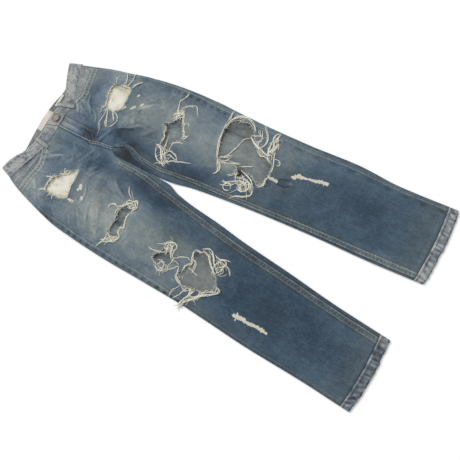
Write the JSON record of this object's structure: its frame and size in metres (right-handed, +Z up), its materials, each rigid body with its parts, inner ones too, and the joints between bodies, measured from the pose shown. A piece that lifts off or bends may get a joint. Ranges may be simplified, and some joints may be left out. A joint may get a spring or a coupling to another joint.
{
  "type": "ripped jeans",
  "caption": "Worn straight-leg five-pocket jeans laid flat, front up, with frayed rips at hips, thighs and knees that show the pocket bags and the backs of the legs.",
  "frame": {"origin": "centre of the garment's box, on the surface it lies on", "axes": "+X to the wearer's left, +Y from the hems up to the waist, +Z up from the surface, so the front faces +Z"},
  "size_m": [0.4966, 1.05, 0.0116],
  "materials": {
    "denim_front": "washed blue denim, faded grey-green on the thighs and whiskered at the hips, matt",
    "denim_back": "washed dark blue denim, grey on its inner side, matt",
    "denim_worn": "denim worn pale along its edges and seams, matt",
    "pocketing": "cream cotton pocketing",
    "label": "blank off-white woven label",
    "frayed_thread": "loose undyed cotton threads",
    "button": "aged coppery metal, worn matt"
  },
  "bodies": {
    "root": {"front_right": "denim_front", "front_left": "denim_front", "back_right": "denim_back", "back_right_outer_turn": "denim_back", "back_right_inner_turn": "denim_back", "back_left": "denim_back", "back_left_outer_turn": "denim_back", "back_left_inner_turn": "denim_back", "yoke_right": "denim_back", "yoke_left": "denim_back", "back_pocket_right": "denim_back", "back_pocket_left": "denim_back", "waistband": "denim_worn", "hem_right": "denim_worn", "hem_left": "denim_worn", "pocket_facing_right": "denim_worn", "pocket_facing_left": "denim_worn", "coin_pocket": "denim_worn", "belt_loop_front_right": "denim_worn", "belt_loop_front_left": "denim_worn", "belt_loop_back_right": "denim_worn", "belt_loop_back_centre": "denim_worn", "belt_loop_back_left": "denim_worn", "pocket_bag_right": "pocketing", "pocket_bag_left": "pocketing", "label_main": "label", "label_small": "label", "fray_thigh_right_outer": "frayed_thread", "fray_thigh_right_inner": "frayed_thread", "fray_knee_right_outer": "frayed_thread", "fray_knee_right_inner": "frayed_thread", "fray_thigh_left_inner": "frayed_thread", "fray_thigh_left_outer": "frayed_thread", "fray_knee_left_inner": "frayed_thread", "fray_knee_left_outer": "frayed_thread", "waist_button": "button"}
  },
  "joints": []
}
